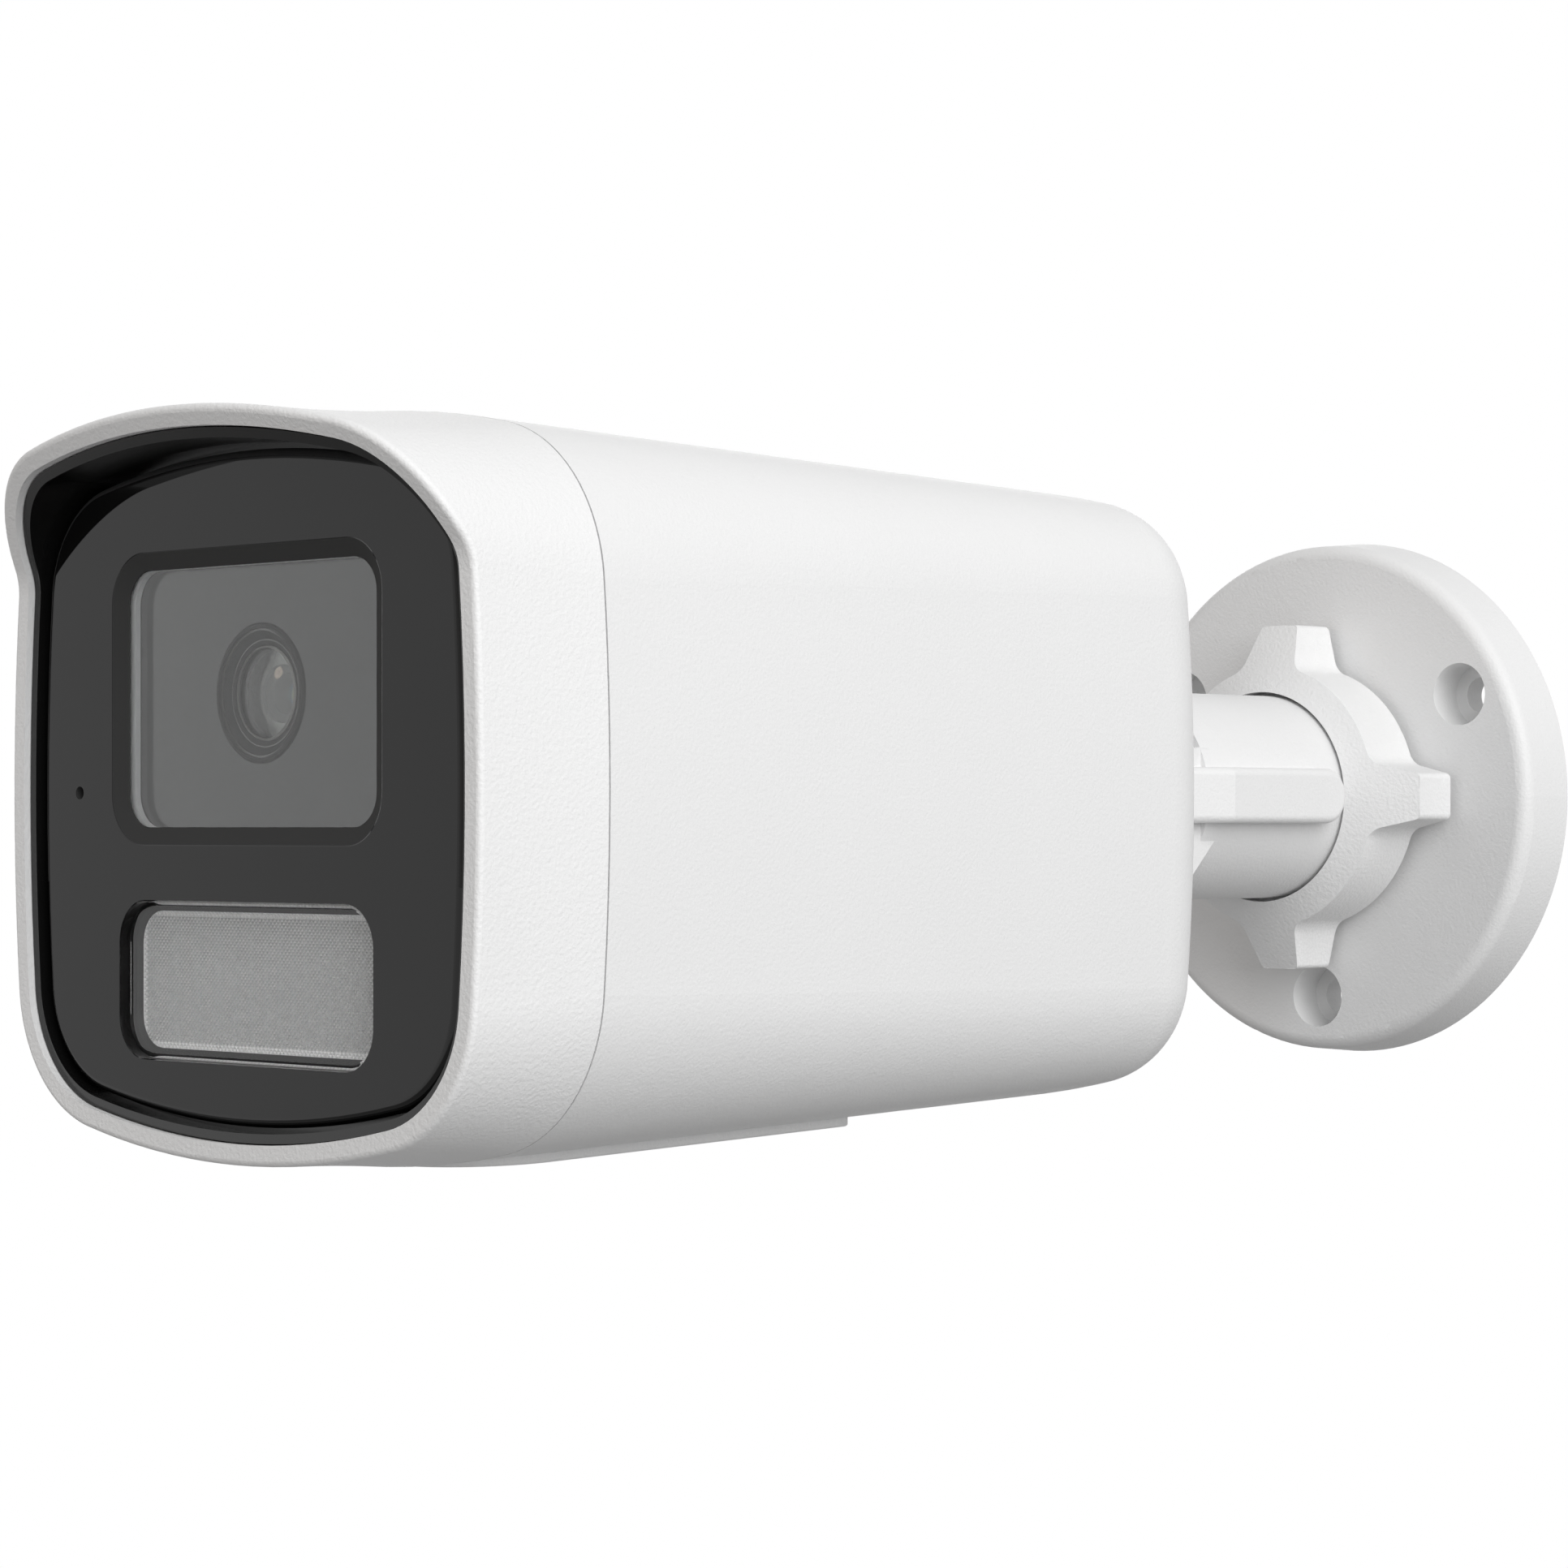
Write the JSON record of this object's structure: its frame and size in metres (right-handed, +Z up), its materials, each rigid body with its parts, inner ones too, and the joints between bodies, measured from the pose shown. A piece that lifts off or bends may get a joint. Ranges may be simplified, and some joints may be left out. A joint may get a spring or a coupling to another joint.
{
  "type": "wall-mounted bullet security camera",
  "caption": "Wall-mounted bullet security camera: tapered rounded-square body with a visor, lens window, prismatic lamp cover and a pan, tilt and roll bracket.",
  "frame": {"origin": "centre of the wall plate's back face, which lies on the wall", "axes": "+Z up, the wall is the plane Y = 0 and the camera looks along -Y, away from the wall; +X is to the right when looking at the wall"},
  "size_m": [0.0798, 0.1987, 0.0798],
  "materials": {
    "white_casting": "white powder coat on die-cast metal, fine grain",
    "white_moulding": "white moulded plastic, orange-peel grain",
    "black_panel": "smooth black panel that mirrors its surroundings",
    "black_moulding": "black satin moulding",
    "clear_window": "clear flat window",
    "lens_glass": "coated lens glass",
    "prism_cover": "clear cover with a fine prism grid",
    "grey_gasket": "light grey gasket",
    "steel_hardware": "bright zinc-plated steel",
    "plain_aluminium": "bare sheet and turned metal",
    "brass_spacers": "turned brass",
    "white_nylon": "natural nylon",
    "black_rubber": "soft black rubber",
    "circuit_board": "green solder mask",
    "chip_black": "moulded component packages",
    "silver_reflector": "metallised reflector",
    "lamp_yellow": "phosphor-coated chips",
    "button_white": "moulded button"
  },
  "bodies": {
    "wall_base": {"base_plate": "white_casting", "pan_washer": "white_nylon"},
    "lock_ring": {"lock_ring": "white_moulding"},
    "pan_arm": {"pan_arm": "white_casting"},
    "tilt_knuckle": {"tilt_knuckle": "white_casting", "tilt_screws": "steel_hardware", "tilt_washers": "white_nylon", "roll_washer": "steel_hardware", "roll_nut": "plain_aluminium", "neck_seal": "black_rubber", "cable_bushing": "black_rubber"},
    "camera": {"rear_housing": "white_casting", "front_cover": "white_moulding", "front_panel": "black_panel", "panel_liner": "black_moulding", "lens_shroud": "black_moulding", "lens_holder": "black_moulding", "lens_barrel": "black_moulding", "lens_window": "clear_window", "lens_front_element": "lens_glass", "lens_rear_elements": "lens_glass", "light_lens": "prism_cover", "window_gasket": "grey_gasket", "cover_screws": "steel_hardware", "panel_screws": "steel_hardware", "carrier_screws": "steel_hardware", "sensor_screws": "steel_hardware", "lamp_screws": "steel_hardware", "spacer_screws": "steel_hardware", "service_screws": "steel_hardware", "card_socket": "steel_hardware", "carrier_plate": "plain_aluminium", "board_spacers": "brass_spacers", "front_seal": "black_rubber", "microphone_boot": "black_rubber", "heat_pad": "black_rubber", "sensor_board": "circuit_board", "main_board": "circuit_board", "power_board": "circuit_board", "service_board": "circuit_board", "lamp_board": "circuit_board", "image_sensor": "chip_black", "processor": "chip_black", "board_parts": "chip_black", "power_parts": "chip_black", "filter_motor": "chip_black", "reset_switch": "chip_black", "microphone": "chip_black", "reflector_block": "silver_reflector", "lamp_chips": "lamp_yellow"},
    "hatch": {"card_hatch": "white_moulding", "hatch_seal": "black_rubber", "hatch_screws": "steel_hardware"},
    "filter": {"filter_carriage": "black_moulding", "filter_panes": "lens_glass"},
    "card": {"memory_card": "chip_black"},
    "reset": {"reset_button": "button_white"}
  },
  "joints": [
    {"name": "lock_ring_turn", "type": "hinge", "parent": "wall_base", "child": "lock_ring", "pos_m": [0, -0.014, 0], "axis": [0, -1, 0], "range_deg": [0, 60]},
    {"name": "pan", "type": "hinge", "parent": "wall_base", "child": "pan_arm", "pos_m": [0, -0.015, 0], "axis": [0, -1, 0], "range_deg": [-180, 180]},
    {"name": "tilt", "type": "hinge", "parent": "pan_arm", "child": "tilt_knuckle", "pos_m": [0, -0.06, -0.006], "axis": [1, 0, 0], "range_deg": [0, 90]},
    {"name": "roll", "type": "hinge", "parent": "tilt_knuckle", "child": "camera", "pos_m": [0, -0.075, 0], "axis": [0, -1, 0], "range_deg": [-180, 180]},
    {"name": "hatch_lift", "type": "slide", "parent": "camera", "child": "hatch", "axis": [0, 0, -1], "range_m": [0, 0.012]},
    {"name": "filter_shift", "type": "slide", "parent": "camera", "child": "filter", "axis": [-1, 0, 0], "range_m": [0, 0.0082]},
    {"name": "card_eject", "type": "slide", "parent": "camera", "child": "card", "axis": [0, -1, 0], "range_m": [0, 0.004]},
    {"name": "reset_press", "type": "slide", "parent": "camera", "child": "reset", "axis": [0, 0, 1], "range_m": [0, 0.0004], "stiffness_N_per_m": 1500}
  ]
}
